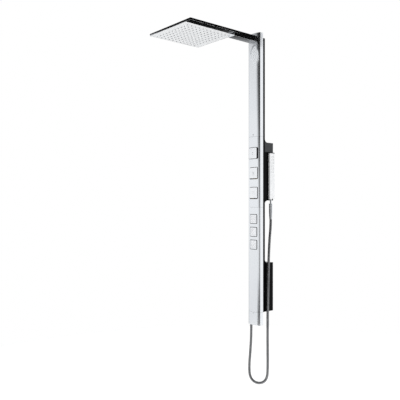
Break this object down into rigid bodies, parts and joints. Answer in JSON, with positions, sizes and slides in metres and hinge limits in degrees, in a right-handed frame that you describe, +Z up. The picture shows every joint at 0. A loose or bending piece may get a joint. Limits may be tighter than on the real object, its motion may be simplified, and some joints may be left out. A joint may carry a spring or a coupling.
{
  "type": "shower panel column",
  "caption": "Slim wall-hung shower column with rain head on an arm, square controls and body jets, and a stick handset docked at its side on a hose.",
  "frame": {"origin": "centre of the lower wall plate's bolt pattern, on the wall's face", "axes": "+Z up along the column, +Y into the wall, +X to the right as one faces the panel"},
  "size_m": [0.348, 0.526, 1.7505],
  "materials": {
    "satin_aluminium": "satin brushed",
    "polished": "polished",
    "black_gloss": "gloss",
    "grey_block": "satin",
    "chrome": "polished",
    "control_face": "fine satin",
    "white_plate": "gloss",
    "handset_satin": "fine satin",
    "pale_rubber": "matt",
    "nozzle_rubber": "matt",
    "seal_rubber": "matt",
    "brass": "machined",
    "inner_plastic": "matt",
    "steel": "brushed",
    "hose_metal": "polished"
  },
  "bodies": {
    "panel": {"upper_shell": "satin_aluminium", "control_shell": "satin_aluminium", "jet_shell": "satin_aluminium", "bottom_shell": "satin_aluminium", "top_cap": "polished", "bottom_cap": "polished", "cover_screws": "steel", "spine": "black_gloss", "upper_bracket": "black_gloss", "bracket_block": "grey_block", "lower_bracket": "black_gloss", "upper_wall_plate": "steel", "lower_wall_plate": "steel", "lock_screws": "steel", "hot_inlet": "brass", "cold_inlet": "brass", "check_valves": "inner_plastic", "mixer_body": "brass", "thermostat_cartridge": "brass", "diverter_cartridge_1": "inner_plastic", "diverter_cartridge_2": "inner_plastic", "riser_pipe": "brass", "jet_pipe": "brass", "hose_pipe": "brass", "hose_outlet": "brass", "jet_sockets": "inner_plastic", "arm": "chrome", "head_body": "chrome", "spray_plate": "white_plate", "spray_nozzles": "nozzle_rubber", "head_seal": "seal_rubber", "head_elbow": "brass", "handset_hook": "steel", "hose": "hose_metal", "first_button_spring": "steel", "second_button_spring": "steel"},
    "thermostat_control": {"thermostat_knob": "control_face", "knob_carrier": "black_gloss", "thermostat_spindle": "brass"},
    "first_push_button": {"first_button": "control_face"},
    "second_push_button": {"second_button": "control_face"},
    "upper_jet": {"jet_face_1": "control_face", "jet_nozzles_1": "pale_rubber"},
    "middle_jet": {"jet_face_2": "control_face", "jet_nozzles_2": "pale_rubber"},
    "lower_jet": {"jet_face_3": "control_face", "jet_nozzles_3": "pale_rubber"},
    "handset": {"handset_body": "handset_satin", "handset_cap": "grey_block", "handset_face": "white_plate", "handset_nozzles": "nozzle_rubber", "handset_connector": "handset_satin", "hose_nut": "chrome"}
  },
  "joints": [
    {"name": "thermostat_turn", "type": "hinge", "parent": "panel", "child": "thermostat_control", "pos_m": [0, -0.106, 0.6685], "axis": [0, -1, 0], "range_deg": [-135, 135]},
    {"name": "first_button_push", "type": "slide", "parent": "panel", "child": "first_push_button", "axis": [0, 1, 0], "range_m": [0, 0.003], "stiffness_N_per_m": 1300, "springref_m": -0.003, "deforming": ["first_button_spring"]},
    {"name": "second_button_push", "type": "slide", "parent": "panel", "child": "second_push_button", "axis": [0, 1, 0], "range_m": [0, 0.003], "stiffness_N_per_m": 1300, "springref_m": -0.003, "deforming": ["second_button_spring"]},
    {"name": "upper_jet_tilt", "type": "hinge", "parent": "panel", "child": "upper_jet", "pos_m": [0, -0.093, 0.341], "axis": [1, 0, 0], "range_deg": [-10, 10]},
    {"name": "middle_jet_tilt", "type": "hinge", "parent": "panel", "child": "middle_jet", "pos_m": [0, -0.093, 0.2772], "axis": [1, 0, 0], "range_deg": [-10, 10]},
    {"name": "lower_jet_tilt", "type": "hinge", "parent": "panel", "child": "lower_jet", "pos_m": [0, -0.093, 0.2134], "axis": [1, 0, 0], "range_deg": [-10, 10]},
    {"name": "handset_lift", "type": "slide", "parent": "panel", "child": "handset", "axis": [0, 0, 1], "range_m": [0, 0.03]}
  ]
}
